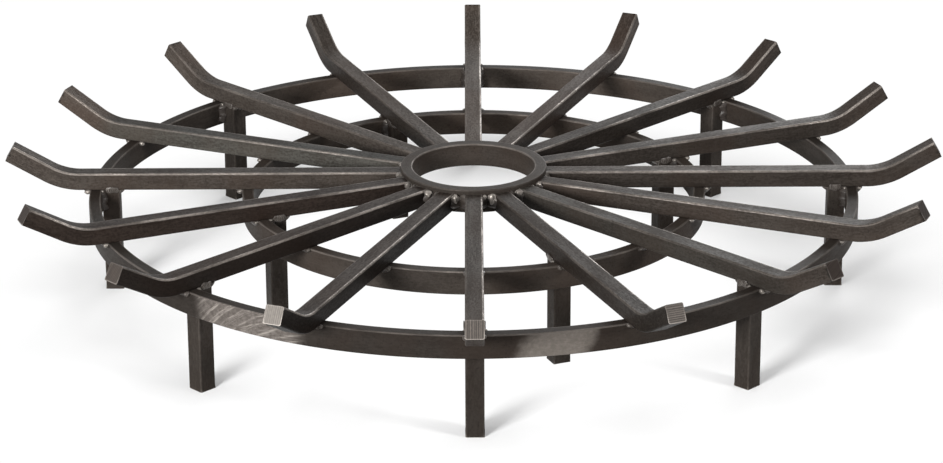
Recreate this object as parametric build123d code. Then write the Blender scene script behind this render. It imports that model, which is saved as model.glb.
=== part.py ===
from build123d import *
import os
from math import radians, sin, sqrt

# Round log grate for a fire pit: sixteen spokes of square bar on two rolled rings, welded up.
# Millimetres. The origin is on the floor under the hub, +Z is up and spoke_01 points along +X.

# Square bar of the spokes and legs
bar_size = 19.05
bar_bevel = 1.2  # stands for the bar's rounded long edges

# Flat bar of the two rings, rolled on edge
ring_height = 25.4
ring_thickness = 12.7
ring_bevel = 1.0  # stands for the flat bar's rounded edges
outer_ring_diameter = 835.0
inner_ring_diameter = 504.0

# Hub, a smaller ring that the spokes are welded round
hub_diameter = 158.75
hub_height = 25.4
hub_wall = 12.7
hub_bevel = 1.0
hub_rise = 5.0  # its rim above the tops of the spokes

# Spokes, straight over both rings and bent up past the outer one
spoke_count = 16
bend_overhang = 10.6  # straight run past the outer ring, up to the bend
bend_angle = 30.0
bend_radius = 69.5  # of the bar's centre line
tip_length = 46.8  # straight run from the bend to the sawn end

# Legs, standing inside the rings with their tops under a spoke
leg_length = 115.5
spokes_per_outer_leg = 2
spokes_per_inner_leg = 4
first_inner_leg_spoke = 1  # counted from spoke_01, which is 0
leg_gap = 0.2  # root gap between a leg and its ring, bridged by the welds

# Weld beads, each sized by the leg of its triangle
hub_weld = 5.4
ring_weld = 7.5
leg_weld = 6.5
seam_weld_width = 6.5  # bead over the flush joint between a leg's side and a spoke's side
seam_weld_height = 1.2
weld_crown = 0.5  # how far a bead's face bulges
weld_root = 2.0  # overlap of a bead's blank, which its neighbours trim away
weld_spacing = 0.5  # between two beads in one corner

# Levels and radii that follow
spoke_bottom = leg_length
spoke_middle = spoke_bottom + bar_size / 2
spoke_top = spoke_bottom + bar_size
bar_half = bar_size / 2
flat_half = bar_half - bar_bevel  # half of a bar's flat face, between its rounded edges
hub_radius = hub_diameter / 2
outer_radius = outer_ring_diameter / 2
inner_radius = inner_ring_diameter / 2
half_pitch = radians(180 / spoke_count)
outer_leg_spokes = range(0, spoke_count, spokes_per_outer_leg)
inner_leg_spokes = range(first_inner_leg_spoke, spoke_count, spokes_per_inner_leg)


def bar_section(width, height, bevel):
    """Section of a bar with its four corners eased."""
    section = Rectangle(width, height)
    return chamfer(section.vertices(), length=bevel)


def rolled_ring(radius, thickness, height, bevel, top):
    """Flat bar on edge, rolled to an outside radius, with its upper edge at a level."""
    section = Pos(radius - thickness / 2, top - height / 2) * bar_section(thickness, height, bevel)
    return revolve(Plane.XZ * section, Axis.Z)


def spoke_bar():
    """Bar swept out from the hub, level over both rings, then up the bend to its sawn end."""
    bend_start = (outer_radius + bend_overhang, spoke_middle)
    level = Line((hub_radius - hub_wall / 2, spoke_middle), bend_start)
    bend = JernArc(start=bend_start, tangent=(1, 0), radius=bend_radius, arc_size=bend_angle)
    tip = Line(bend @ 1, (bend @ 1) + (bend % 1) * tip_length)
    path = Plane.XZ * (level + bend + tip)
    start = Plane(origin=path @ 0, x_dir=(0, 1, 0), z_dir=path % 0)
    blank = sweep(start * bar_section(bar_size, bar_size, bar_bevel), path=path)
    cope = Pos(0, 0, spoke_middle) * Cylinder(hub_radius, 2 * bar_size)
    return blank - cope


def leg_face_radius(ring_radius):
    """Where a leg's outer face stands, its flat just clear of the ring's hollow side."""
    bore = ring_radius - ring_thickness
    return sqrt(bore**2 - flat_half**2) - leg_gap


def leg_bar(ring_radius):
    """Upright bar inside a ring, from the floor to the underside of its spoke."""
    section = Pos(leg_face_radius(ring_radius) - bar_half, 0) * bar_section(bar_size, bar_size, bar_bevel)
    return extrude(section, amount=leg_length)


def bead_section(leg, toe_drop=0):
    """Bead in a square corner at the origin: legs along +X and +Y, a convex face, a root behind Y."""
    bulge = weld_crown / sqrt(2)
    crown = (leg - toe_drop) / 2 + bulge, leg / 2 + bulge
    edge = Polyline((-toe_drop, leg), (-weld_root, leg), (-weld_root, 0), (leg, 0))
    face = ThreePointArc((leg, 0), crown, (-toe_drop, leg))
    return make_face(edge + face)


def circle_x(radius, y):
    """Distance along the radial axis at which a circle round the hub passes a sideways offset."""
    return sqrt(radius**2 - y**2)


def both_sides(bead):
    """A bead and its mirror image on the other side of its bar."""
    return [bead, mirror(bead, about=Plane.XZ)]


def hub_bead(hub):
    """Upright bead between the hub's outside and a spoke's side."""
    room = hub_radius * sin(half_pitch) - bar_half - weld_spacing
    leg = min(hub_weld, room)
    corner = circle_x(hub_radius, bar_half)
    toe_drop = corner - circle_x(hub_radius, bar_half + leg)
    blank = Pos(corner, bar_half, spoke_bottom + bar_bevel) * bead_section(leg, toe_drop)
    return extrude(blank, amount=bar_size - 2 * bar_bevel) - hub


def ring_bead(ring, ring_radius):
    """Level bead under a spoke, against the outside of a ring."""
    side = Plane(origin=(ring_radius, 0, spoke_bottom), x_dir=(1, 0, 0), z_dir=(0, 1, 0))
    return extrude(side * bead_section(ring_weld), amount=flat_half, both=True) - ring


def leg_bead(ring, ring_radius):
    """Upright bead between a leg's side and the hollow side of its ring."""
    bore = ring_radius - ring_thickness
    corner = circle_x(bore, bar_half)
    toe_drop = circle_x(bore, bar_half + leg_weld) - corner
    low = spoke_bottom - ring_height + ring_bevel
    blank = bead_section(leg_weld, toe_drop)
    standing = extrude(blank, amount=ring_height - 2 * ring_bevel)
    return Pos(corner, bar_half, low) * mirror(standing, about=Plane.YZ) - ring


def leg_top_bead(leg, ring_radius):
    """Level bead between a leg's inner face and the spoke above it."""
    face = leg_face_radius(ring_radius) - bar_size
    side = Plane(origin=(face, 0, spoke_bottom), x_dir=(-1, 0, 0), z_dir=(0, -1, 0))
    return extrude(side * bead_section(leg_weld), amount=flat_half, both=True) - leg


def seam_bead(ring_radius):
    """Low bead along the flush joint between a leg's side and its spoke's side."""
    face = leg_face_radius(ring_radius)
    start = face - bar_size + bar_bevel
    run = bar_size - bar_bevel - leg_weld - weld_spacing
    half_width = seam_weld_width / 2
    groove = Polyline((0, -half_width), (0, 0), (-bar_bevel, 0), (0, bar_bevel), (0, half_width))
    crown = ThreePointArc((0, half_width), (seam_weld_height, 0), (0, -half_width))
    joint = Plane(origin=(start, bar_half, spoke_bottom), x_dir=(0, 1, 0), z_dir=(1, 0, 0))
    return extrude(joint * make_face(groove + crown), amount=run)


def at_spokes(shapes, places):
    """Copies of some shapes, turned to the spokes at the given places."""
    step = 360 / spoke_count
    return [Rot(0, 0, step * place) * shape for place in places for shape in shapes]


def leg_welds(ring, leg, ring_radius, leg_spokes):
    """The five beads that hold each leg to its ring and to its spoke."""
    beads = both_sides(leg_bead(ring, ring_radius)) + both_sides(seam_bead(ring_radius))
    beads.append(leg_top_bead(leg, ring_radius))
    return at_spokes(beads, leg_spokes)


def save(shape, node):
    """Write the solids of one named node."""
    export_step(shape, f"parts/{node}.step")


os.makedirs("parts", exist_ok=True)

hub_ring = rolled_ring(hub_radius, hub_wall, hub_height, hub_bevel, spoke_top + hub_rise)
outer_ring = rolled_ring(outer_radius, ring_thickness, ring_height, ring_bevel, spoke_bottom)
inner_ring = rolled_ring(inner_radius, ring_thickness, ring_height, ring_bevel, spoke_bottom)
save(hub_ring, "hub_ring")
save(outer_ring, "outer_ring")
save(inner_ring, "inner_ring")

for place, spoke in enumerate(at_spokes([spoke_bar()], range(spoke_count))):
    save(spoke, f"spoke_{place + 1:02d}")

outer_leg = leg_bar(outer_radius)
inner_leg = leg_bar(inner_radius)
for number, leg in enumerate(at_spokes([outer_leg], outer_leg_spokes)):
    save(leg, f"outer_leg_{number + 1}")
for number, leg in enumerate(at_spokes([inner_leg], inner_leg_spokes)):
    save(leg, f"inner_leg_{number + 1}")

save(Compound(at_spokes(both_sides(hub_bead(hub_ring)), range(spoke_count))), "hub_welds")
save(Compound(at_spokes([ring_bead(outer_ring, outer_radius)], range(spoke_count))), "outer_ring_welds")
save(Compound(at_spokes([ring_bead(inner_ring, inner_radius)], range(spoke_count))), "inner_ring_welds")
save(Compound(leg_welds(outer_ring, outer_leg, outer_radius, outer_leg_spokes)), "outer_leg_welds")
save(Compound(leg_welds(inner_ring, inner_leg, inner_radius, inner_leg_spokes)), "inner_leg_welds")
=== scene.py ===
from math import atan2, cos, pi, radians, sin, sqrt

import bmesh
import bpy
import numpy as np
from mathutils import Matrix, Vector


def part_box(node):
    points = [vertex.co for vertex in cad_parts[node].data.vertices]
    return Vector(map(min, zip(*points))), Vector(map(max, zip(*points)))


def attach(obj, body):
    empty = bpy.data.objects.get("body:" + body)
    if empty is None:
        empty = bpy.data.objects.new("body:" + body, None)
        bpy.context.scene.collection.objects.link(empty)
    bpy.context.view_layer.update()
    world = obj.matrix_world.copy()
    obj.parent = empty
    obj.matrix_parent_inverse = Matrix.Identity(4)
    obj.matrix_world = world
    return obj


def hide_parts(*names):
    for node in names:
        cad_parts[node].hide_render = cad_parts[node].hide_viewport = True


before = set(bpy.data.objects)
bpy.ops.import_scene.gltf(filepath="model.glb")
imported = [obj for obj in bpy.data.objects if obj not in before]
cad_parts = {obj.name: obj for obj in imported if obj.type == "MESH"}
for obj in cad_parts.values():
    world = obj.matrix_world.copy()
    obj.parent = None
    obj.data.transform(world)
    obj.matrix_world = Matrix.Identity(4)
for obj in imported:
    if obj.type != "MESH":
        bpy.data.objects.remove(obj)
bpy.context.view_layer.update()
mm = 0.001
rng = np.random.default_rng(16)
print("frame loaded,", len(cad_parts), "nodes")

# Levels and radii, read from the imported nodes
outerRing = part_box("outer_ring")
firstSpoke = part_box("spoke_01")

spokeCount = 16
barSize = firstSpoke[1].y - firstSpoke[0].y
barHalf = barSize / 2
barBevel = 1.2 * mm  # of the solid bars
spokeBottom = firstSpoke[0].z
spokeTop = spokeBottom + barSize
outerRadius = outerRing[1].x
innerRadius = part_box("inner_ring")[1].x
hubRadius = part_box("hub_ring")[1].x
ringHeight = outerRing[1].z - outerRing[0].z
ringWall = 12.7 * mm
legGap = 0.2 * mm
halfPitch = pi / spokeCount
spokeAngles = [2 * pi * place / spokeCount for place in range(spokeCount)]
outerLegPlaces = range(0, spokeCount, 2)
innerLegPlaces = range(1, spokeCount, 4)
xAxis, yAxis, zAxis = np.eye(3)[:, None]
mergeGap = 0.001 * mm
sharpFrom = radians(40)


# How far out a circle round the hub passes a bar's side: root of radius squared less barHalf squared.
def sideCrossing(radius):
    return sqrt(radius ** 2 - barHalf ** 2)


# How far out a leg's outer face stands: its flat, between two bevels, just clears the ring's hollow side.
def legFace(ringRadius):
    return sqrt((ringRadius - ringWall) ** 2 - (barHalf - barBevel) ** 2) - legGap


# Closed section of a bar: four straight sides joined by quarter circles, counter-clockwise.
# Returns its points, how far each lies from the nearest rounded edge, and its way round.
def barSection(width, height, edgeRadius, arcSteps=5, sideShares=(0.06, 0.16, 0.32, 0.5, 0.68, 0.84, 0.94)):
    turn = np.linspace(0, pi / 2, arcSteps + 1)
    corners = [(1, 1), (-1, 1), (-1, -1), (1, -1)]
    arcs = []
    for quarter, (sx, sy) in enumerate(corners):
        angle = turn + quarter * pi / 2
        centre = np.array([sx * (width / 2 - edgeRadius), sy * (height / 2 - edgeRadius)])
        arcs.append(centre + edgeRadius * np.stack([np.cos(angle), np.sin(angle)], 1))
    shares = np.array(sideShares)[:, None]
    points, away = [], []
    for quarter in range(4):
        start, end = arcs[quarter][-1], arcs[(quarter + 1) % 4][0]
        side = start + (end - start) * shares
        sideLength = np.linalg.norm(end - start)
        points += [arcs[quarter], side]
        away += [np.zeros(arcSteps + 1), np.minimum(shares, 1 - shares)[:, 0] * sideLength]
    points = np.concatenate(points)
    steps = np.linalg.norm(np.roll(points, -1, 0) - points, axis=1)
    return points, np.concatenate(away), np.concatenate([[0], np.cumsum(steps)])


# Carries a section along a path: point = centre + across * sectionX + upward * sectionY,
# for every station and every section point at once.
def carrySection(section, centres, across, upward):
    return (centres[:, None, :] + across[:, None, :] * section[None, :, 0:1]
            + upward[:, None, :] * section[None, :, 1:2])


# Four-sided faces between the neighbours of a grid of points, whose columns close up, and their corners'
# coordinates: along the path, and round the section without a jump at its end.
def gridFaces(grid, along, around):
    rows, columns = grid.shape[:2]
    r, c = np.meshgrid(np.arange(len(along) - 1), np.arange(len(around) - 1), indexing="ij")
    rNext, cNext = (r + 1) % rows, (c + 1) % columns
    quads = np.stack([r * columns + c, rNext * columns + c, rNext * columns + cNext, r * columns + cNext], -1)
    u = np.stack([along[r], along[r + 1], along[r + 1], along[r]], -1)
    v = np.stack([around[c], around[c], around[c + 1], around[c + 1]], -1)
    return quads.reshape(-1, 4), np.stack([u, v], -1).reshape(-1, 4, 2)


# Turns points about the hub's axis: x = x * cos - y * sin, y = x * sin + y * cos.
def turned(points, angle):
    c, s = cos(angle), sin(angle)
    return points @ np.array([[c, s, 0], [-s, c, 0], [0, 0, 1]])


# Heat tint and painted shade that fade away from a weld: level * e^-(distance / reach)^2.
def heatAround(distance, level, reach):
    return level * np.exp(-(distance / reach) ** 2)


# A piece gathered from grids: points, quads, corner coordinates, per-point masks and material numbers.
# A mask is one number, one for each point of the section, or a column with one for each station.
# Where a grid runs the other way round, its faces are turned over.
class Gather:
    def __init__(self):
        self.points, self.quads, self.corners, self.numbers = [], [], [], []
        self.masks = {}
        self.count = 0

    def add(self, grid, along, around, turnOver=False, number=0, flat=None, **masks):
        quads, corners = gridFaces(grid, along, around)
        if flat is not None:
            corners = flat[quads]
        if turnOver:
            quads, corners = quads[:, ::-1], corners[:, ::-1]
        points = grid.reshape(-1, 3)
        self.points.append(points)
        self.quads.append(quads + self.count)
        self.corners.append(corners)
        self.numbers.append(np.full(len(quads), number))
        for name, values in masks.items():
            spread = np.broadcast_to(np.asarray(values, float), grid.shape[:2])
            self.masks.setdefault(name, []).append((self.count, spread.ravel()))
        self.count += len(points)


# Puts the gathered arrays into one closed mesh, faces outwards, sharp where they meet at over 40 degrees.
def makePiece(name, gather, materials, replaced):
    points = np.concatenate(gather.points)
    quads = np.concatenate(gather.quads)
    corners = np.concatenate(gather.corners)
    mesh = bpy.data.meshes.new(name)
    mesh.vertices.add(len(points))
    mesh.vertices.foreach_set("co", points.astype(np.float32).ravel())
    mesh.loops.add(quads.size)
    mesh.loops.foreach_set("vertex_index", quads.astype(np.int32).ravel())
    mesh.polygons.add(len(quads))
    mesh.polygons.foreach_set("loop_start", np.arange(0, quads.size, 4, dtype=np.int32))
    mesh.polygons.foreach_set("material_index", np.concatenate(gather.numbers).astype(np.int32))
    mesh.polygons.foreach_set("use_smooth", np.ones(len(quads), bool))
    layer = mesh.uv_layers.new(name="wayAlongAndRound")
    layer.data.foreach_set("uv", corners.astype(np.float32).ravel())
    for maskName, parts in gather.masks.items():
        values = np.zeros(len(points))
        for first, part in parts:
            values[first:first + len(part)] = part
        attribute = mesh.attributes.new(maskName, "FLOAT", "POINT")
        attribute.data.foreach_set("value", values.astype(np.float32))
    mesh.update(calc_edges=True)
    shell = bmesh.new()
    shell.from_mesh(mesh)
    bmesh.ops.remove_doubles(shell, verts=shell.verts, dist=mergeGap)
    bmesh.ops.recalc_face_normals(shell, faces=shell.faces)
    shell.to_mesh(mesh)
    shell.free()
    mesh.set_sharp_from_angle(angle=sharpFrom)
    for material in materials:
        mesh.materials.append(material)
    piece = bpy.data.objects.new(name, mesh)
    bpy.context.scene.collection.objects.link(piece)
    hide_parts(*replaced)
    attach(piece, "root")


cutEnd = {"rings": 6, "firstRing": 0.985}


# Closes the end of a carried section with rings that shrink to its middle.
# Point = middle + (outline - middle) * share. Its corner coordinates are the section's own, turned.
# The outline's own points are shared with the bar and keep its masks, so the next ring stands close by.
def addCutEnd(gather, outline, section, turnOver, turnOfLines, number, **masks):
    shares = np.concatenate([[1.0], np.linspace(cutEnd["firstRing"], 0, cutEnd["rings"])])
    middle = outline.mean(0)
    grid = middle + (outline - middle)[None] * shares[:, None, None]
    c, s = cos(turnOfLines), sin(turnOfLines)
    flat = (section[None] * shares[:, None, None]).reshape(-1, 2) @ np.array([[c, s], [-s, c]])
    gather.add(grid, shares, np.arange(len(section) + 1), turnOver, number, flat,
               edgeDistance=((1 - shares) * barHalf)[:, None], cutLow=0.5 - section[:, 1] / barSize, **masks)


print("helpers ready")


# A node group from its inputs' names and kinds and its outputs' names. Returns the sockets inside it too.
def newGroup(name, inputs, outputs):
    tree = bpy.data.node_groups.new(name, "ShaderNodeTree")
    for socketName, kind in inputs.items():
        tree.interface.new_socket(socketName, in_out="INPUT", socket_type="NodeSocket" + kind)
    for socketName in outputs:
        tree.interface.new_socket(socketName, in_out="OUTPUT", socket_type="NodeSocketFloat")
    found = tree.nodes.new("NodeGroupInput").outputs[:len(inputs)]
    return tree, found, tree.nodes.new("NodeGroupOutput").inputs


def newMaterial(name, look):
    material = bpy.data.materials.new(name)
    material.use_nodes = True
    shader = material.node_tree.nodes["Principled BSDF"]
    shader.inputs["Specular IOR Level"].default_value = look["specular"]
    return material, material.node_tree, shader


# One node with its properties and unlinked socket values set.
def addNode(tree, kind, values=None, **properties):
    node = tree.nodes.new(kind)
    for key, value in properties.items():
        setattr(node, key, value)
    for key, value in (values or {}).items():
        node.inputs[key].default_value = value
    return node


# Gives a socket a number or a colour, or the link that it comes from.
def feed(value, target):
    if isinstance(value, bpy.types.NodeSocket):
        target.id_data.links.new(value, target)
    else:
        target.default_value = (*value, 1) if isinstance(value, tuple) else value


# The tree of the first socket among some values.
def treeOf(values):
    return next(value.id_data for value in values if isinstance(value, bpy.types.NodeSocket))


# A node whose inputs are fed with some values in their order.
def addFed(kind, values, **properties):
    node = addNode(treeOf(values), kind, **properties)
    for value, target in zip(values, node.inputs):
        feed(value, target)
    return node


def addMath(operation, *values, clamp=False):
    return addFed("ShaderNodeMath", values, operation=operation, use_clamp=clamp).outputs[0]


def times(a, b):
    return addMath("MULTIPLY", a, b)


def plus(a, b):
    return addMath("ADD", a, b)


def minus(a, b):
    return addMath("SUBTRACT", a, b)


def addRange(value, low, high, toLow=0.0, toHigh=1.0, smooth=True):
    kind = "SMOOTHSTEP" if smooth else "LINEAR"
    node = addFed("ShaderNodeMapRange", (value, low, high, toLow, toHigh), interpolation_type=kind)
    return node.outputs["Result"]


def addMix(factor, a, b, blend="MIX"):
    node = addNode(treeOf((factor, a, b)), "ShaderNodeMix", data_type="RGBA", blend_type=blend)
    for key, value in ((0, factor), (6, a), (7, b)):
        feed(value, node.inputs[key])
    return node.outputs[2]


# A colour whose three parts are each multiplied by a level of their own.
def addLevels(colour, levels):
    return addMix(1.0, colour, addFed("ShaderNodeCombineColor", levels).outputs[0], "MULTIPLY")


# Noise in space, or with lines along one direction only, so that it makes parallel lines.
def addNoise(place, scale, detail=3.0, roughness=0.5, distortion=0.0, lines=False):
    values = {"Scale": scale, "Detail": detail, "Roughness": roughness, "Distortion": distortion}
    node = addNode(place.id_data, "ShaderNodeTexNoise", values, noise_dimensions="1D" if lines else "3D")
    feed(place, node.inputs["W" if lines else "Vector"])
    return node.outputs["Fac"]


def addStretch(vector, scale, shift=(0, 0, 0)):
    node = addNode(vector.id_data, "ShaderNodeMapping", {"Scale": scale, "Location": shift})
    feed(vector, node.inputs["Vector"])
    return node.outputs["Vector"]


# Outputs of a node group that is fed from some sockets.
def addGroup(group, *sockets):
    return addFed("ShaderNodeGroup", sockets, node_tree=group).outputs


def addBump(shader, height, look):
    values = {"Strength": look["bump"], "Distance": look["bumpDepth"]}
    bump = addNode(shader.id_data, "ShaderNodeBump", values)
    feed(height, bump.inputs["Height"])
    feed(bump.outputs[0], shader.inputs["Normal"])


def readMask(tree, name):
    return addNode(tree, "ShaderNodeAttribute", attribute_name=name).outputs["Fac"]


# Layers of the grain: stretch along and round the bar, shift, detail, roughness, and its share
# in the streaks and in the relief
grainLayers = {
    "broad": ((14, 90, 1), (0, 0, 0), 3.0, 0.5, 0.24, 0.0),
    "fine": ((150, 600, 1), (3, 7, 0), 4.0, 0.6, 0.34, 0.4),
    "hair": ((160, 2400, 1), (11, 5, 0), 2.0, 0.5, 0.1, 0.2),
    "speck": ((360, 360, 1), (5, 2, 0), 4.0, 0.7, 0.32, 0.5),
}


# Rolling grain of a bar: noise drawn out along the bar, in three widths, and a fine even speckle.
def makeGrain(layers):
    inputs = {"Way": "Vector", "Shift": "Float"}
    tree, (way, shift), out = newGroup("barGrain", inputs, ["Streaks", "Height"])
    offset = addNode(tree, "ShaderNodeCombineXYZ")
    feed(shift, offset.inputs["Z"])
    moved = addFed("ShaderNodeVectorMath", (way, offset.outputs[0]), operation="ADD").outputs[0]
    streaks, relief = 0.0, 0.0
    for stretch, place, detail, roughness, streakShare, reliefShare in layers.values():
        noise = addNoise(addStretch(moved, stretch, place), 1.0, detail, roughness)
        streaks = plus(times(noise, streakShare), streaks)
        relief = plus(times(noise, reliefShare), relief)
    feed(addRange(streaks, 0.43, 0.57), out["Streaks"])
    feed(relief, out["Height"])
    return tree


wearLook = {"widthScale": 55.0, "widths": (0.54 * mm, 1.17 * mm), "strengthScale": 14.0, "weakest": 0.25}


# Rubbed edges, partly real wear and partly a painted highlight: full on the rounding, fading over about a
# millimetre, which a noise changes.
def makeEdgeWear(look):
    inputs = {"Distance": "Float", "Place": "Vector"}
    tree, (distance, place), out = newGroup("rubbedEdges", inputs, ["Rubbed"])
    width = addRange(addNoise(place, look["widthScale"], 4.0, 0.6), 0.3, 0.75, *look["widths"])
    strength = addRange(addNoise(place, look["strengthScale"]), 0.3, 0.65, look["weakest"], 1.0)
    feed(times(addRange(distance, 0.0, width, 1.0, 0.0), strength), out["Rubbed"])
    return tree


# Each patch's noise by scale, detail, roughness and distortion, and the noise where it starts and is full
patchLook = {
    "Brown": (7.0, 4.0, 0.55, 0.4, 0.42, 0.62),
    "Light": (24.0, 5.0, 0.6, 0.2, 0.5, 0.75),
    "Pits": (460.0, 3.0, 0.6, 0.0, 0.56, 0.7),
}


# Mill scale under oil: wide brown patches, small light rubs and dark pits.
def makePatches(look):
    tree, (place,), out = newGroup("scalePatches", {"Place": "Vector"}, look)
    for name, (*noise, start, full) in look.items():
        feed(addRange(addNoise(place, *noise), start, full), out[name])
    return tree


# Sweeps of the grinder: centre beside the ground spot, lines per metre and share
arcLook = {
    "sweeps": (((0.087, -0.134), 190.0, 0.65), ((0.060, -0.150), 620.0, 0.35)),
    "wobble": 2.5 * mm,
    "patchScale": 60.0,
}


# Grinder marks about two centres beside the ground spot: thin arcs laid over each other.
def makeGrinderArcs(look):
    tree, (way,), out = newGroup("grinderArcs", {"Way": "Vector"}, ["Arcs", "Deep"])
    wobble = times(addNoise(way, look["patchScale"], 2.0), look["wobble"])
    both = 0.0
    for centre, pitch, share in look["sweeps"]:
        gap = addNode(tree, "ShaderNodeVectorMath", {1: (*centre, 0)}, operation="DISTANCE")
        feed(way, gap.inputs[0])
        arcs = addNoise(plus(gap.outputs["Value"], wobble), pitch, 4.0, 0.7, lines=True)
        both = plus(times(arcs, share), both)
    broken = addRange(addNoise(way, look["patchScale"], 4.0, 0.6), 0.36, 0.6)
    feed(addRange(both, 0.36, 0.64), out["Arcs"])
    feed(times(addRange(both, 0.5, 0.64), broken), out["Deep"])
    return tree


grainGroup = makeGrain(grainLayers)
edgeGroup = makeEdgeWear(wearLook)
patchGroup = makePatches(patchLook)
arcGroup = makeGrinderArcs(arcLook)

steelLook = {
    "dark": (0.017, 0.0135, 0.011),
    "light": (0.042, 0.0355, 0.0305),
    "brown": (0.031, 0.022, 0.017),
    "rubbed": (0.22, 0.195, 0.175),
    "ground": (0.13, 0.115, 0.105),
    "scratch": (0.21, 0.19, 0.17),
    "polished": (0.128, 0.113, 0.10),
    "dulled": (0.075, 0.066, 0.058),
    # heat tint, and painted shade near the welds and under the bars; also the colour of the pits
    "heat": (0.010, 0.0075, 0.007),
    "patchTints": (("Brown", 0.5, "brown"), ("Light", 0.35, "light"), ("Pits", 0.5, "heat")),
    "warmShift": (0.16, -0.10, -0.18),
    "darkestBar": 0.2,
    "lightestBar": 1.6,
    "metallic": 0.04,
    "rubbedMetallic": 0.9,
    "specular": 0.04,
    "roughness": (0.55, 0.39),
    "brownRougher": 0.06,
    "rubbedSmoother": 0.08,
    "groundShare": 0.85,
    "polishShare": 0.9,
    "raggedScale": 38.0,
    "mottleScale": 180.0,
    "bump": 0.7,
    "bumpDepth": 0.16 * mm,
    "arcDepth": 1.5,
}
# middle and half width in degrees round the ring, and how far the spot leans from its lower to its upper edge
groundSpots = {
    "ground": {"centre": 237.0, "width": 9.0, "lean": 0.0},
    "polish": {"centre": 281.2, "width": 5.7, "lean": 1.5},
}
wayToOuterFace = 62.4 * mm  # round a ring's section, to the middle of its outer face


# Oiled dark bar steel. Base, roughness and bump come from grain, patches, rubbed edges with a painted
# highlight, and ground spots; the base also holds each bar's tone with painted light and shade, and heat tint
# with painted shade near the welds.
def makeBarSteel(look):
    material, tree, shader = newMaterial("oiledBarSteel", look)
    way = addNode(tree, "ShaderNodeUVMap", uv_map="wayAlongAndRound").outputs[0]
    place = addNode(tree, "ShaderNodeTexCoord").outputs["Object"]
    grain = addGroup(grainGroup, way, readMask(tree, "barNumber"))
    patches = addGroup(patchGroup, place)
    edges = addGroup(edgeGroup, readMask(tree, "edgeDistance"), place)
    ground, polish = readMask(tree, "ground"), readMask(tree, "polish")
    heat, tone, warmth = readMask(tree, "heat"), readMask(tree, "barTone"), readMask(tree, "barWarmth")
    # the calmer a face, the nearer its grain comes to its middle tone
    streaks = minus(grain["Streaks"], times(minus(grain["Streaks"], 0.5), readMask(tree, "calm")))

    colour = addMix(streaks, look["dark"], look["light"])
    for patch, share, tint in look["patchTints"]:
        colour = addMix(times(patches[patch], share), colour, look[tint])
    # each bar's tone, which also holds painted light and shade on its tops, tips and hollow side
    level = addRange(tone, 0.0, 1.0, look["darkestBar"], look["lightestBar"], smooth=False)
    shifts = [addMath("MULTIPLY_ADD", warmth, shift, 1.0) for shift in look["warmShift"]]
    colour = addLevels(colour, [times(level, shift) for shift in shifts])
    # heat tint, and painted shade in the corners at the hub, under the bars and at the joints
    colour = addMix(heat, colour, look["heat"])
    # rubbed edges: partly real wear, partly a painted highlight on the rounding
    rubbed = times(edges["Rubbed"], addRange(streaks, 0.0, 1.0, 0.5, 0.9))
    rubbed = times(rubbed, minus(1.0, readMask(tree, "edgeFaint")))
    colour = addMix(rubbed, colour, look["rubbed"])
    metal = addRange(rubbed, 0.0, 1.0, look["metallic"], look["rubbedMetallic"], False)
    feed(metal, shader.inputs["Metallic"])

    # the spot's own middle is the origin of its arcs
    spotWay = radians(groundSpots["ground"]["centre"]) * (outerRadius - ringWall / 2)
    arcs = addGroup(arcGroup, addStretch(way, (1, 1, 1), (-spotWay, -wayToOuterFace, 0)))
    ragged = times(minus(addNoise(place, look["raggedScale"], 4.0, 0.6), 0.5), 0.9)
    groundMask = addRange(plus(ground, times(ragged, ground)), 0.25, 0.8)
    mottled = addRange(addNoise(way, look["mottleScale"], 4.0, 0.65), 0.34, 0.62, 0.35, 1.0)
    cleaned = times(addRange(arcs["Arcs"], 0.0, 1.0, 0.55, 1.0), mottled)
    bared = addMix(cleaned, look["light"], look["ground"])
    bared = addMix(arcs["Deep"], bared, look["scratch"])
    colour = addMix(times(groundMask, look["groundShare"]), colour, bared)
    smoothed = addMix(times(streaks, mottled), look["dulled"], look["polished"])
    polishMask = addRange(plus(polish, ragged), 0.3, 0.95)
    polishMask = times(polishMask, addRange(polish, 0.02, 0.3))
    colour = addMix(times(polishMask, look["polishShare"]), colour, smoothed)
    feed(colour, shader.inputs["Base Color"])

    rough = addRange(streaks, 0.0, 1.0, *look["roughness"], smooth=False)
    rough = plus(rough, times(patches["Brown"], look["brownRougher"]))
    rough = minus(rough, times(rubbed, look["rubbedSmoother"]))
    feed(rough, shader.inputs["Roughness"])

    relief = minus(grain["Height"], times(patches["Pits"], 0.5))
    scored = times(times(arcs["Arcs"], groundMask), look["arcDepth"])
    addBump(shader, plus(relief, scored), look)
    return material


sawLook = {
    "dark": (0.014, 0.009, 0.007),
    "bright": (0.40, 0.37, 0.335),
    "rim": (0.46, 0.42, 0.38),
    "rimWidth": 1.3 * mm,
    "toothPitch": 2.1 * mm,
    "toothShare": 0.22,
    "lineScale": 600.0,
    "speckle": (1500, 600, 1),
    "metallic": 0.05,
    "specular": 0.08,
    "roughness": (0.6, 0.45),
    "bump": 0.3,
    "bumpDepth": 0.08 * mm,
}
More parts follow.
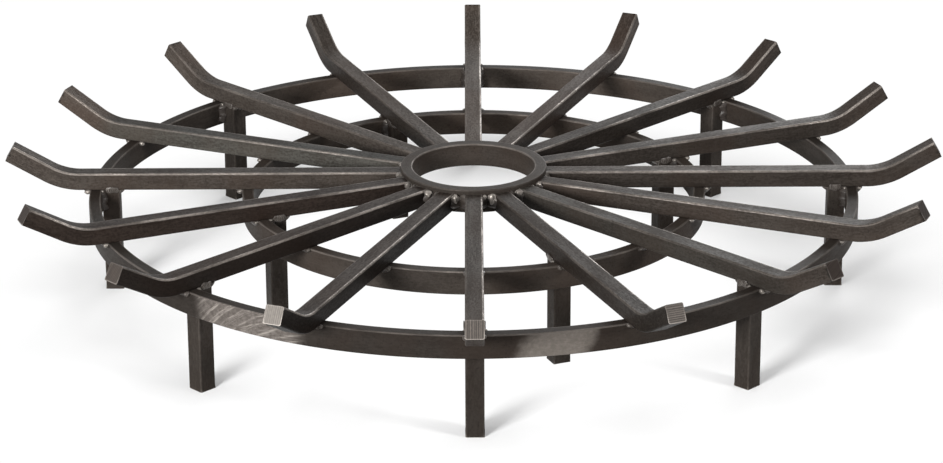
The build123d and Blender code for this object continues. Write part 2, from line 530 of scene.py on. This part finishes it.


# Sawn bar end: even saw lines across the section, a bright rim that is partly the burr's bare metal and
# partly a painted highlight, and a lightness of its own per bar that holds painted shade too.
def makeSawnEnd(look):
    material, tree, shader = newMaterial("sawnEnd", look)
    feed(look["metallic"], shader.inputs["Metallic"])
    way = addNode(tree, "ShaderNodeUVMap", uv_map="wayAlongAndRound").outputs[0]
    acrossLines = addFed("ShaderNodeSeparateXYZ", (way,)).outputs[0]
    lines = addNoise(plus(acrossLines, readMask(tree, "barNumber")), look["lineScale"], 2.0, 0.6, lines=True)
    wave = addMath("SINE", times(acrossLines, 2 * pi / look["toothPitch"]))
    ridges = plus(times(wave, look["toothShare"]), lines)
    speckle = addNoise(addStretch(way, look["speckle"]), 1.0, 3.0, 0.6)
    ridges = plus(ridges, times(minus(speckle, 0.5), 0.5))
    cut = addRange(ridges, 0.15, 0.9)
    mottled = addRange(addNoise(way, 300.0, 4.0), 0.3, 0.7, 0.9, 1.06)
    # the lighter the end, the fainter its saw lines
    cutTone = readMask(tree, "cutTone")
    contrast = addRange(cutTone, 0.12, 0.27, 1.0, 0.35)
    lined = times(minus(cut, 0.5), contrast)
    level = times(mottled, plus(lined, 1.0))
    colour = addLevels(addMix(cutTone, look["dark"], look["bright"]), [level] * 3)
    rim = addRange(readMask(tree, "edgeDistance"), 0.0, look["rimWidth"], 1.0, 0.0)
    rim = times(rim, addRange(cutTone, 0.0, 0.3, 0.16, 0.35))
    # the saw leaves more burr at the lower edge, and the rim's painted highlight is stronger there
    lowerMore = addRange(readMask(tree, "cutLow"), 0.3, 0.95, 0.45, 1.7)
    rim = addMath("MULTIPLY", rim, lowerMore, clamp=True)
    colour = addMix(rim, colour, look["rim"])
    feed(colour, shader.inputs["Base Color"])
    feed(addRange(cut, 0.0, 1.0, *look["roughness"], False), shader.inputs["Roughness"])
    addBump(shader, ridges, look)
    return material


weldLook = {
    "dark": (0.024, 0.019, 0.016),
    "light": (0.27, 0.245, 0.22),
    "metallic": 0.7,
    "specular": 0.2,
    "roughness": (0.3, 0.48),
    "bump": 0.2,
    "bumpDepth": 0.15 * mm,
}


# Weld metal: painted highlights on the ripples' crests and painted shade in their hollows.
def makeWeldMetal(look):
    material, tree, shader = newMaterial("weldMetal", look)
    place = addNode(tree, "ShaderNodeTexCoord").outputs["Object"]
    mottled = addNoise(place, 260.0, 4.0, 0.6)
    amount = addRange(plus(times(mottled, 0.8), readMask(tree, "crest")), 0.45, 1.3)
    amount = times(amount, readMask(tree, "bright"))
    feed(addRange(amount, 0.0, 0.6, 0.05, look["metallic"], False), shader.inputs["Metallic"])
    feed(addMix(amount, look["dark"], look["light"]), shader.inputs["Base Color"])
    feed(addRange(mottled, 0.3, 0.7, *look["roughness"], False), shader.inputs["Roughness"])
    addBump(shader, addNoise(place, 700.0), look)
    return material


barSteel = makeBarSteel(steelLook)
sawnEnd = makeSawnEnd(sawLook)
weldMetal = makeWeldMetal(weldLook)
print("materials ready")

spokeShape = {
    "edgeRadius": 1.6 * mm,
    "bendAngle": radians(30),
    "bendRadius": 69.5 * mm,
    "tipLength": 46.8 * mm,
    "levelStations": 72,
    "bendStations": 22,
    "tipStations": 12,
    "hubBlend": 6 * mm,
    "waviness": 0.03 * mm,
    "waves": ((34, 1.0), (83, 0.6)),
    "bendSwell": 0.35 * mm,
    "swellWidth": 0.42,
    "hubHeat": (0.75, 13 * mm),
    "ringHeat": (0.5, 16 * mm),
    "innerEndHeat": 0.6,
    "tipLighter": 0.45,
    "tipFrom": 0.3,
    "tipFull": 0.9,
    "tipAtSides": 0.1,
    "tipMost": 0.7,
    "leftEdgeFaint": 0.85,
    "sideCalm": 0.25,
    "otherCutTones": (0.03, 0.12),
}
# lightness of each bar's scale, from 0 to 1, with painted shade on the bars that stand in shade and painted
# light on the lit ones
spokeTones = {1: 0.40, 2: 0.36, 3: 0.20, 4: 0.32, 5: 0.95, 6: 0.24, 7: 0.69, 8: 0.97,
              9: 0.66, 10: 0.20, 11: 0.07, 12: 0.0, 13: 0.49, 14: 0.16, 15: 0.47, 16: 0.57}
# how much redder than the others a bar's scale is; below 0 it is greyer
spokeWarmth = {3: 0.1, 4: 0.3, 8: -0.45, 10: 0.5, 11: 0.3, 12: 0.35, 15: -0.3}
# painted light and shade on each bar's top: how much lighter its top is painted than its sides
topLighter = {1: 0.25, 3: 0.1, 4: 0.3, 6: 0.5, 7: 0.1, 8: -0.6, 9: -0.3,
              11: 0.25, 12: 0.35, 14: 0.2, 16: -0.2}
# lightness of each sawn end, partly its own colour and partly painted shade on the ends that face away from
# the light, and the turn of its saw lines; the other ends' are random
cutTones = {1: 0.01, 2: 0.02, 9: 0.03, 10: 0.025, 11: 0.065,
            12: 0.28, 13: 0.115, 14: 0.125, 15: 0.014, 16: 0.012}
cutTurns = {11: 0.2, 12: 0.0, 13: 0.0, 14: pi / 2, 15: 1.2}


# Centre line of a spoke: level, then a circular bend, then straight. Returns x, z, slope and the way along.
def spokePath(shape):
    theta, radius, tip = shape["bendAngle"], shape["bendRadius"], shape["tipLength"]
    reach = firstSpoke[1].x - (radius * sin(theta) + tip * cos(theta) + barHalf * sin(theta))
    level = np.linspace(hubRadius, reach, shape["levelStations"])
    bend = np.linspace(0, theta, shape["bendStations"] + 1)[1:]
    straight = np.linspace(0, tip, shape["tipStations"] + 1)[1:]
    x = np.concatenate([level, reach + radius * np.sin(bend),
                        reach + radius * sin(theta) + straight * cos(theta)])
    rise = np.concatenate([level * 0, radius * (1 - np.cos(bend)),
                           radius * (1 - cos(theta)) + straight * sin(theta)])
    slope = np.concatenate([level * 0, bend, straight * 0 + theta])
    way = np.concatenate([level, reach + radius * bend, reach + radius * theta + straight]) - hubRadius
    return x, spokeBottom + barHalf + rise, slope, way


# A spoke: the bar's section carried along its centre line, with its inner end drawn out to the hub.
# Point += (waves along the bar, and swell * the bend's bell curve) * the section's own normal.
def makeSpoke(place, angle, shape):
    section, away, around = barSection(barSize, barSize, shape["edgeRadius"])
    x, z, slope, way = spokePath(shape)
    upward = np.stack([-np.sin(slope), x * 0, np.cos(slope)], 1)
    grid = carrySection(section, np.stack([x, x * 0, z], 1), yAxis, upward)
    # the inner end follows the hub's round outside
    inner = np.sqrt(hubRadius ** 2 - section[:, 0] ** 2)
    blendIn = np.clip(1 - (x - hubRadius) / shape["hubBlend"], 0, 1)[:, None]
    grid[:, :, 0] += (inner - hubRadius)[None] * blendIn
    # faint waves along the bar and a swell on the inside of the bend
    phase = rng.uniform(0, 2 * pi, 4)
    wave = sum(share * np.sin(way * rate + shift) for (rate, share), shift in zip(shape["waves"], phase))
    normal = section / np.linalg.norm(section, axis=1)[:, None]
    onTop = np.clip(section[:, 1] / barHalf, 0, 1)
    turnShare = slope / shape["bendAngle"]
    bendMask = np.exp(-((turnShare - 0.5) / shape["swellWidth"]) ** 2) * (slope > 0)
    swell = shape["bendSwell"] * bendMask[:, None] * onTop[None] ** 2
    grid += yAxis[:, None] * (normal[:, 0][None] * swell)[..., None]
    grid += upward[:, None] * (normal[:, 1][None] * wave[:, None] * shape["waviness"])[..., None]
    # heat tint and painted shade at the hub, and from below where the bar crosses a ring
    heat = heatAround(way, *shape["hubHeat"])[:, None]
    low = np.clip(-section[:, 1] / barHalf, 0, 1)
    for crossing in (innerRadius - ringWall / 2, outerRadius - ringWall / 2):
        heat = np.maximum(heat, heatAround(x - crossing, *shape["ringHeat"])[:, None] * low[None])
    # past the bend the bar is painted lighter, as painted light on the bent tips that face the front, most of
    # all at the back
    bent = np.clip((turnShare - shape["tipFrom"]) / (shape["tipFull"] - shape["tipFrom"]), 0, 1)
    atBack = min(max(sin(angle) + shape["tipAtSides"], 0), shape["tipMost"])
    tone = spokeTones[place + 1] + shape["tipLighter"] * bent * atBack
    # painted light and shade on the flat top of the level part
    flatTop = onTop ** 8
    tone = tone[:, None] + (topLighter.get(place + 1, 0.0) * flatTop)[None] * (1 - bent[:, None])
    # greyer bars keep their brown past the bend
    warmth = spokeWarmth.get(place + 1, 0.0)
    warmth = np.maximum(warmth, warmth * (1 - bent))
    # edges that look to the left, along -X, get less rubbing and painted highlight, as if lit from the right;
    # only the upper edges get them at all
    toLeft = np.clip(sin(angle) * np.sign(section[:, 0]), 0, 1)
    upperOnly = np.where(section[:, 1] > 0, away, barHalf)
    gather = Gather()
    gather.add(turned(grid, angle), way, around, edgeDistance=upperOnly, barNumber=place, heat=heat,
               barTone=tone, barWarmth=warmth[:, None],
               edgeFaint=toLeft * shape["leftEdgeFaint"], calm=(1 - flatTop) * shape["sideCalm"])
    return gather, grid, section


for place, angle in enumerate(spokeAngles):
    gather, grid, section = makeSpoke(place, angle, spokeShape)
    cutTone = cutTones.get(place + 1, rng.uniform(*spokeShape["otherCutTones"]))
    lines = cutTurns.get(place + 1, rng.uniform(0, pi))
    addCutEnd(gather, turned(grid[-1], angle), section, False, lines, 1, barNumber=place, cutTone=cutTone)
    addCutEnd(gather, turned(grid[0], angle), section, True, 0.0, 0, barNumber=place,
              heat=spokeShape["innerEndHeat"])
    name = f"spoke_{place + 1:02d}"
    makePiece(name + "_bar", gather, [barSteel, sawnEnd], [name])
print("spokes made:", spokeCount)

ringShape = {
    "edgeRadius": 1.0 * mm,
    "stations": 480,
    "heat": (0.45, 9 * mm),
    "behindSpread": radians(30),
    "calm": 0.6,
}
# tone outside, and inside at the sides and behind, where the hollow side is painted lighter as painted light;
# how faint the edges' rubbing and painted highlight are inside and outside; heat tint with painted shade on
# the outer face
ringLooks = {
    "outer_ring": {"tone": 0.27, "inside": (0.4, 1.5), "faint": (0.6, 0.6), "heat": 0, "spots": groundSpots},
    "inner_ring": {"tone": 0.52, "inside": (0.38, 1.25), "faint": (0.45, 0.45), "heat": 0, "spots": {}},
    "hub_ring": {"tone": 0.45, "inside": (0.5, 0.5), "faint": (0.45, 0.85), "heat": 0.8, "spots": {}},
}


# A ring: a flat-bar section turned round the hub's axis. Point = (radius * cos, radius * sin, height).
def makeRing(node, look, shape):
    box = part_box(node)
    radius, low, high = box[1].x, box[0].z, box[1].z
    section, away, around = barSection(ringWall, high - low, shape["edgeRadius"], arcSteps=4)
    angle = np.linspace(0, 2 * pi, shape["stations"] + 1)[:-1]
    outward = np.stack([np.cos(angle), np.sin(angle), angle * 0], 1)
    middle = radius - ringWall / 2
    grid = carrySection(section, outward * middle + zAxis * (low + high) / 2, outward, zAxis)
    outside = np.clip(section[:, 0] / (ringWall / 2), 0, 1) ** 4
    inside = np.clip(-section[:, 0] / (ringWall / 2), 0, 1) ** 4
    masks = {}
    for mask, spot in look["spots"].items():
        lean = section[None, :, 1] / (high - low) * radians(spot["lean"])
        off = (angle[:, None] - radians(spot["centre"]) - lean) / radians(spot["width"])
        masks[mask] = np.exp(-off ** 4) * outside[None]
    # heat tint and painted shade under each spoke, at the upper edge
    fromSpoke = np.abs((angle + halfPitch) % (2 * halfPitch) - halfPitch) * middle
    upperShare = np.clip(section[:, 1] / (high - low) + 0.5, 0, 1)
    heat = heatAround(fromSpoke - barHalf, *shape["heat"])[:, None] * upperShare[None] ** 2
    # the hub's outer face is painted dark all round: heat tint, and painted shade in the gaps between the
    # spokes
    heat = np.maximum(heat, outside[None] * look["heat"])
    # the hollow side is painted lighter behind, as painted light where it faces the front
    aside, behind = look["inside"]
    insideTone = aside + (behind - aside) * np.exp(-((angle - pi / 2) / shape["behindSpread"]) ** 2)
    tones = look["tone"] + (insideTone[:, None] - look["tone"]) * inside[None]
    innerFaint, outerFaint = look["faint"]
    faint = np.where(section[:, 0] > 0, outerFaint, innerFaint)
    # only the upper edges get rubbing and painted highlight
    upperOnly = np.where(section[:, 1] > 0, away, barHalf)
    gather = Gather()
    gather.add(grid, np.append(angle, 2 * pi) * middle, around, True, edgeDistance=upperOnly, edgeFaint=faint,
               calm=shape["calm"], barTone=tones, barNumber=20 + radius, heat=heat, **masks)
    makePiece(node + "_bar", gather, [barSteel], [node])


for node, look in ringLooks.items():
    makeRing(node, look, ringShape)
print("rings made")

legShape = {
    "edgeRadius": 1.1 * mm,
    "stations": 26,
    "burr": 4.0 * mm,
    "burrOut": 0.55 * mm,
    "burrTurn": 0.24,
    "edgeFaint": 0.9,
    "footFaint": 0.45,
    "calm": 0.5,
    "heat": (0.45, 22 * mm),
    "cutTone": 0.1,
    "cutTurn": 0.3,
    "otherTones": (0.36, 0.54),
    "burrStations": (0, 0.3, 0.7),
}
legTones = {"outer_leg_7": 0.26}  # the other legs' are random


# A leg: the bar's section carried up from the floor. Near the foot, point += outward * (1 - height / burr)
# * lean, where lean is 0 to 1 round the section.
def makeLeg(node, place, ringRadius, shape):
    section, away, around = barSection(barSize, barSize, shape["edgeRadius"])
    burr = shape["burr"]
    z = np.linspace(burr, spokeBottom, shape["stations"])
    z = np.concatenate([burr * np.array(shape["burrStations"]), z])
    centres = xAxis * (legFace(ringRadius) - barHalf) + zAxis * z[:, None]
    grid = carrySection(section, centres, xAxis, yAxis)
    # the sawn foot's burr stands out most at one corner, and at another one on each leg
    low = np.clip(1 - z / burr, 0, 1)
    lean = 0.5 + 0.5 * np.cos(np.arctan2(section[:, 1], section[:, 0]) - shape["burrTurn"] * place)
    outward = section / np.linalg.norm(section, axis=1)[:, None]
    grid[:, :, :2] += low[:, None, None] * (lean[:, None] * outward)[None] * shape["burrOut"]
    angle = spokeAngles[place]
    # heat tint and painted shade where the leg meets the ring
    heat = heatAround(z - (spokeBottom - ringHeight / 2), *shape["heat"])
    tone = legTones.get(node, rng.uniform(*shape["otherTones"]))
    fromEdge = np.minimum(away[None], z[:, None] * 1.2)
    faint = shape["edgeFaint"] + (shape["footFaint"] - shape["edgeFaint"]) * low
    gather = Gather()
    gather.add(turned(grid, angle), z, around, True, edgeDistance=fromEdge, barTone=tone,
               edgeFaint=faint[:, None], calm=shape["calm"], barNumber=30 + place + ringRadius,
               heat=heat[:, None])
    for end, turnOver in ((0, False), (-1, True)):
        addCutEnd(gather, turned(grid[end], angle), section, turnOver, shape["cutTurn"], 1,
                  barNumber=place, cutTone=shape["cutTone"])
    makePiece(node + "_bar", gather, [barSteel, sawnEnd], [node])


for number, place in enumerate(outerLegPlaces):
    makeLeg(f"outer_leg_{number + 1}", place, outerRadius, legShape)
for number, place in enumerate(innerLegPlaces):
    makeLeg(f"inner_leg_{number + 1}", place, innerRadius, legShape)
print("legs made")

weldShape = {
    "crownPoints": 13,
    "stations": 44,
    "swells": ((9 * mm, 0.07), (4.1 * mm, 0.03)),
    "leanPitch": 11 * mm,
    "lean": 0.12,
    "ripplePitch": 2.1 * mm,
    "rippleBow": 2.2 * mm,
    "rippleHeight": 0.10 * mm,
    "crest": 0.55,
    "rootDepth": 0.9 * mm,
    "lumpRows": 13,
    "lumpColumns": 18,
}


# A wave along a way, from -1 to 1.
def waveAlong(way, pitch, phase):
    return np.sin(way * 2 * pi / pitch + phase)


# Bead in the corner of two faces, carried along a path from start to end.
# Section = sideA * legA * cos(t)^fullness + sideB * legB * sin(t)^fullness, plus crescent ripples,
# times an envelope that is the half-circle of the bead's two round ends.
def addBead(gather, start, end, sideA, sideB, legA, legB, roundEnd, bright=1.0, ripples=1.0, endLight=0.0,
            fullness=1.45):
    shape = weldShape
    start, end, sideA, sideB = (np.array(v, float) for v in (start, end, sideA, sideB))
    length = np.linalg.norm(end - start)
    way = length * (1 - np.cos(np.linspace(0, pi, shape["stations"]))) / 2
    fromEnd = np.minimum(np.minimum(way, length - way) / roundEnd, 1)
    envelope = np.sqrt(np.clip(1 - (1 - fromEnd) ** 2, 0, 1))[:, None]
    phase = rng.uniform(0, 2 * pi, 5)
    along, swells = way[:, None], zip(shape["swells"], phase)
    swell = 1 + sum(share * waveAlong(along, pitch, shift) for (pitch, share), shift in swells)
    t = np.linspace(0, pi / 2, shape["crownPoints"])[None]
    shareA, shareB = np.cos(t) ** fullness, np.sin(t) ** fullness
    lean = 1 + shape["lean"] * waveAlong(along, shape["leanPitch"], phase[2])
    bowed = along + shape["rippleBow"] * np.sin(2 * t)
    ripple = (waveAlong(bowed, shape["ripplePitch"], phase[3]) * 0.5 + 0.5) ** 1.6
    lift = 1 + ripple * np.sin(2 * t) * shape["rippleHeight"] * ripples / legA
    a = legA * lean * swell * shareA * lift * envelope
    b = legB / lean * swell * shareB * lift * envelope
    root = -shape["rootDepth"] * envelope
    a = np.concatenate([a, root, root, a[:, :1]], 1)
    b = np.concatenate([b, b[:, -1:], root, root], 1)
    line = start + (end - start) * along / length
    grid = line[:, None] + sideA * a[..., None] + sideB * b[..., None]
    around = np.arange(a.shape[1] + 1) * mm
    crest = np.zeros(a.shape)
    # the bead's upper end is painted lighter, as painted light from above
    upper = np.clip(along / length * 1.6 - 0.7, 0, 1)
    crest[:, :shape["crownPoints"]] = ripple * shape["crest"] * ripples + upper * endLight
    gather.add(grid, way, around, crest=crest, bright=bright)


# Lump of weld metal: a sphere with three radii whose surface two waves push in and out.
def addLump(gather, centre, radii, bright=1.0, rough=0.1):
    rows, columns = weldShape["lumpRows"], weldShape["lumpColumns"]
    polar = np.linspace(0, pi, rows)[:, None]
    turn = np.linspace(0, 2 * pi, columns + 1)[None, :-1]
    phase = rng.uniform(0, 2 * pi, 3)
    folds = np.sin(3 * turn + phase[0]) * np.cos(2 * polar + phase[1])
    wave = 1 + rough * np.sin(polar) * (folds + 0.5 * np.sin(5 * turn + 4 * polar + phase[2]))
    ball = np.stack([np.sin(polar) * np.cos(turn) * wave, np.sin(polar) * np.sin(turn) * wave,
                     np.cos(polar) * wave], -1)
    grid = np.array(centre) + ball * np.array(radii)
    # the lump's bulges are painted lighter, as painted highlight
    gather.add(grid, np.linspace(0, 8 * mm, rows), np.linspace(0, 12 * mm, columns + 1),
               crest=0.5 * wave, bright=bright)


# Turns everything that was gathered since a count to its spoke's direction.
def turnSince(gather, first, angle):
    for number in range(first, len(gather.points)):
        gather.points[number] = turned(gather.points[number], angle)


# A bead's second side, in the corner between a round face and a bar's side: it follows the round face.
def alongRound(corner, side, leg):
    steer = atan2(barHalf + leg / 2, corner)
    return -sin(steer), cos(steer) * side, 0


# Beads and lumps at the hub by spoke and side, in millimetres, and how much taller than wide a lump is
hubWelds = {
    "leg": 4.8,
    "full": {(9, 1): 5.6, (10, 1): 6.0, (11, 1): 6.6, (12, 1): 8.2,
             (14, -1): 8.2, (15, -1): 6.2, (16, -1): 5.6},
    "lumps": {(11, 1): 4.0, (10, 1): 3.2, (9, 1): 3.0, (12, 1): 2.6, (13, 1): 2.0, (14, -1): 2.6,
              (15, -1): 3.3, (16, -1): 2.6, (8, 1): 2.4, (3, 1): 2.8, (5, -1): 2.5, (7, 1): 2.2},
    "tall": {(12, 1): 2.0, (14, -1): 2.4, (13, 1): 1.3},
    "otherTall": 0.95,
    "brightFrom": 6 * mm,
    "bright": 0.8,
}


# Upright beads between hub and spokes. Some end at the top in a lump, where the welder stopped.
def makeHubWelds(setting):
    gather = Gather()
    corner = sideCrossing(hubRadius)
    for place, angle in enumerate(spokeAngles):
        for side in (1, -1):
            first = len(gather.points)
            leg = setting["full"].get((place + 1, side), setting["leg"] * rng.uniform(0.9, 1.12)) * mm
            low = spokeBottom + rng.uniform(1.0, 3.0) * mm
            high = spokeTop + rng.uniform(-0.6, 0.8) * mm
            # the big beads at the front are painted light and the others dark: partly their own tint, partly
            # painted light and painted shade
            addBead(gather, (corner, side * barHalf, low), (corner, side * barHalf, high), (1, 0, 0),
                    alongRound(corner, side, leg), leg * 0.92, leg, leg * 0.85,
                    bright=setting["bright"] if leg > setting["brightFrom"] else rng.uniform(0.1, 0.3),
                    ripples=0.2, endLight=0.8, fullness=1.75)
            size = setting["lumps"].get((place + 1, side), 0) * mm
            tall = setting["tall"].get((place + 1, side), setting["otherTall"])
            if size:
                out = leg * 0.4
                addLump(gather, (corner + out, side * (barHalf + out), spokeTop - size * tall * 0.8),
                        (size * rng.uniform(1.05, 1.3), size * rng.uniform(1.0, 1.25), size * tall),
                        bright=rng.uniform(0.7, 0.95), rough=0.2)
            turnSince(gather, first, angle)
    makePiece("hub_weld_beads", gather, [weldMetal], ["hub_welds"])


ringWelds = {
    "leg": 6.6 * mm,
    "over": 1.6 * mm,
    "bright": 0.55,
    "dull": (11, 12, 13, 14),
    "dullness": 0.25,
    "insideAt": (-2.2 * mm, -1.0 * mm, -1.8 * mm),
    "insideRadii": (3.6 * mm, 3.2 * mm, 2.6 * mm),
}


# Level beads under the spokes, outside a ring, with round ends that stand out past the spoke's sides
# and a lump at each. A spoke that is named in inside has two lumps in the ring's hollow side too.
def makeRingWelds(node, radius, setting, inside=()):
    gather = Gather()
    back, bore = sideCrossing(radius), sideCrossing(radius - ringWall)
    for place, angle in enumerate(spokeAngles):
        first = len(gather.points)
        leg = setting["leg"] * rng.uniform(0.85, 1.1)
        reach = barHalf + setting["over"] * rng.uniform(0.2, 1.0)
        # the beads under the front spokes are painted darker, as painted shade
        shine = setting["dullness"] if place + 1 in setting["dull"] else 1.0
        addBead(gather, (back, -reach, spokeBottom), (back, reach, spokeBottom), (1, 0, 0), (0, 0, -1),
                leg, leg * rng.uniform(0.75, 1.0), leg * 0.7, bright=setting["bright"] * shine)
        for side in (1, -1):
            size = rng.uniform(2.0, 3.4) * mm
            sideways = side * (barHalf + rng.uniform(-0.8, 0.8) * mm)
            addLump(gather, (back + size * 0.7, sideways, spokeBottom - size * 0.55),
                    (size * 1.15, size * 0.85, size * 0.8), bright=rng.uniform(0.75, 1.0) * shine)
        if place + 1 in inside:
            x, y, z = setting["insideAt"]
            for side in (1, -1):
                addLump(gather, (bore + x, side * (barHalf + y), spokeBottom + z), setting["insideRadii"])
        turnSince(gather, first, angle)
    makePiece(node + "_beads", gather, [weldMetal], [node])


legWelds = {"leg": 6.0 * mm, "seamHalf": 3.1 * mm, "seamLean": 0.45, "seamEnd": 3 * mm, "topBright": 0.8}


# The five beads of each leg: two upright at its ring, two low ones over its sides' joints, one at its top.
def makeLegWelds(node, radius, places, setting):
    gather = Gather()
    back = legFace(radius) - barSize
    corner = sideCrossing(radius - ringWall)
    for place in places:
        first = len(gather.points)
        leg = setting["leg"] * rng.uniform(0.85, 1.1)
        for side in (1, -1):
            low = spokeBottom - ringHeight + rng.uniform(0.5, 3.0) * mm
            addBead(gather, (corner, side * barHalf, low), (corner, side * barHalf, spokeBottom - 0.6 * mm),
                    (-1, 0, 0), alongRound(corner, side, leg), leg, leg * rng.uniform(0.8, 1.05), leg * 0.6,
                    bright=rng.uniform(0.05, 0.25), ripples=0.5)
            size = rng.uniform(1.8, 3.0) * mm
            addLump(gather, (corner - size * 0.3, side * (barHalf + size * 0.35), spokeBottom - size * 0.75),
                    (size * 1.1, size * 0.9, size), bright=0.85, rough=0.14)
            # a low bead is one whose two sides both lie nearly in the bar's face
            out = side * setting["seamLean"]
            addBead(gather, (back + 1.0 * mm, side * barHalf, spokeBottom),
                    (corner - leg * 0.7, side * barHalf, spokeBottom), (0, out, 1), (0, out, -1),
                    setting["seamHalf"] * rng.uniform(0.8, 1.0), setting["seamHalf"] * rng.uniform(0.7, 1.0),
                    setting["seamEnd"], bright=rng.uniform(0.5, 0.9))
        reach = barHalf + rng.uniform(-0.5, 1.2) * mm
        addBead(gather, (back, -reach, spokeBottom), (back, reach, spokeBottom), (-1, 0, 0), (0, 0, -1),
                leg * 0.9, leg * rng.uniform(0.75, 1.0), leg * 0.7, bright=setting["topBright"])
        turnSince(gather, first, spokeAngles[place])
    makePiece(node + "_beads", gather, [weldMetal], [node])


makeHubWelds(hubWelds)
makeRingWelds("outer_ring_welds", outerRadius, ringWelds, inside=(8,))
makeRingWelds("inner_ring_welds", innerRadius, ringWelds)
makeLegWelds("outer_leg_welds", outerRadius, outerLegPlaces, legWelds)
makeLegWelds("inner_leg_welds", innerRadius, innerLegPlaces, legWelds)
print("welds made")


# One for the rays that see the white studio itself: from the camera, off gloss, and through glass.
def seenRay(tree):
    rays = addNode(tree, "ShaderNodeLightPath").outputs
    seen = addMath("MAXIMUM", rays["Is Camera Ray"], rays["Is Glossy Ray"])
    return addMath("MAXIMUM", seen, rays["Is Transmission Ray"])


# White shares are how much of the floor's look is plain white, by the distance from the hub's axis
studio = {
    "floorHalf": 6.0,
    "floorGrey": 0.84,
    "roughness": 0.9,
    "specular": 0.1,
    "fill": 0.08,
    "whiteLevel": 1.06,
    "farWhiteLevel": 1.02,
    "shadowReach": 0.42,
    "whiteFrom": 0.62,
    "whiteShareNear": 0.1,
    "whiteShareMiddle": 0.94,
    "middleReach": 0.25,
    "footReach": 0.42,
}
softboxAim = (0, 0, 0.1)
# place, size and power of each soft light
softboxes = {
    "keyFrontLeft": ((-1.9, -3.0, 1.1), (1.0, 0.9), 235),
    "fillRight": ((2.9, -1.9, 1.1), (0.7, 0.6), 75),
    "backRight": ((0.95, 2.4, 1.2), (1.3, 1.4), 33),
    "backWide": ((0, 3.0, 1.35), (4.5, 1.3), 16),
    "overhead": ((-0.2, -0.5, 3.0), (2.4, 2.2), 40),
}


# A pale floor that takes shadows near the grate and is plain white far from it.
def makeFloor(look):
    mesh = bpy.data.meshes.new("floor")
    half = look["floorHalf"]
    corners = [(-half, -half, 0), (half, -half, 0), (half, half, 0), (-half, half, 0)]
    mesh.from_pydata(corners, [], [(0, 1, 2, 3)])
    floor = bpy.data.objects.new("floor", mesh)
    bpy.context.scene.collection.objects.link(floor)
    material, tree, shader = newMaterial("paleFloor", look)
    feed((look["floorGrey"],) * 3, shader.inputs["Base Color"])
    feed(look["roughness"], shader.inputs["Roughness"])
    place = addNode(tree, "ShaderNodeTexCoord").outputs["Object"]
    reach = addFed("ShaderNodeVectorMath", (place,), operation="LENGTH").outputs["Value"]
    # far from the grate nothing casts a shadow, and the floor is white alone
    farShare = addRange(reach, look["shadowReach"], look["whiteFrom"], look["whiteShareNear"], 1.0)
    # the floor is mixed with more plain white under the middle, a painted light that fades the real shadow
    # there
    midShare = addRange(reach, look["middleReach"], look["footReach"], look["whiteShareMiddle"], 0.0)
    level = addRange(reach, look["shadowReach"], look["whiteFrom"], look["whiteLevel"], look["farWhiteLevel"])
    white = addNode(tree, "ShaderNodeEmission", {"Color": (1, 1, 1, 1)})
    feed(level, white.inputs["Strength"])
    share = times(seenRay(tree), addMath("MAXIMUM", farShare, midShare))
    mix = addFed("ShaderNodeMixShader", (share, shader.outputs[0], white.outputs[0]))
    feed(mix.outputs[0], tree.nodes["Material Output"].inputs["Surface"])
    mesh.materials.append(material)


# White where it is seen itself, and a faint even fill for the light that it gives.
def makeWorld(look):
    world = bpy.data.worlds.new("studio")
    bpy.context.scene.world = world
    world.use_nodes = True
    tree = world.node_tree
    colour, strength = tree.nodes["Background"].inputs[:2]
    feed((1, 1, 1), colour)
    feed(addRange(seenRay(tree), 0.0, 1.0, look["fill"], 1.0, False), strength)


# Puts an object at a place, turned so that its own axes lie along right, rise and back.
def setTurn(item, right, rise, back, place):
    turn = Matrix(np.stack([right, rise, back], 1).tolist()).to_4x4()
    turn.translation = place.tolist()
    item.matrix_world = turn
    bpy.context.scene.collection.objects.link(item)


# A soft light that faces its aim: back points from the aim to the light, right lies level.
def makeSoftbox(name, place, size, power, aim):
    light = bpy.data.lights.new(name, "AREA")
    light.shape = "RECTANGLE"
    light.size, light.size_y = size
    light.energy = power
    place, aim = np.array(place), np.array(aim)
    back = (place - aim) / np.linalg.norm(place - aim)
    right = np.cross([0, 0, 1], back)
    right /= np.linalg.norm(right)
    setTurn(bpy.data.objects.new(name, light), right, np.cross(back, right), back, place)


cameraSetting = {
    "azimuth": -0.05, "elevation": 21.285, "roll": -0.25, "distance": 3.6687, "target": (0, 0, 0.06),
    "focal": 3343.8, "imageWidth": 943, "imageHeight": 463, "axisX": 473.82, "axisY": 232.98,
    "sensorWidth": 36, "clip": (0.1, 60),
}


# Camera from its angles about the target. Columns of its turn are right, up and back, rolled about back.
def makeCamera(setting):
    azimuth, elevation, roll = (radians(setting[key]) for key in ("azimuth", "elevation", "roll"))
    back = np.array([sin(azimuth) * cos(elevation), -cos(azimuth) * cos(elevation), sin(elevation)])
    right = np.array([cos(azimuth), sin(azimuth), 0])
    rise = np.cross(back, right)
    rolledRight = cos(roll) * right + sin(roll) * rise
    rolledRise = -sin(roll) * right + cos(roll) * rise
    data = bpy.data.cameras.new("camera")
    width, height = setting["imageWidth"], setting["imageHeight"]
    data.sensor_width = setting["sensorWidth"]
    data.lens = setting["focal"] / width * data.sensor_width
    data.shift_x = (width / 2 - setting["axisX"]) / width
    data.shift_y = (setting["axisY"] - height / 2) / width
    data.clip_start, data.clip_end = setting["clip"]
    camera = bpy.data.objects.new("camera", data)
    setTurn(camera, rolledRight, rolledRise, back, np.array(setting["target"]) + back * setting["distance"])
    bpy.context.scene.camera = camera


makeFloor(studio)
makeWorld(studio)
for name, (place, size, power) in softboxes.items():
    makeSoftbox(name, place, size, power, softboxAim)
makeCamera(cameraSetting)
bpy.context.scene.view_settings.view_transform = "Standard"

print("scene ready")
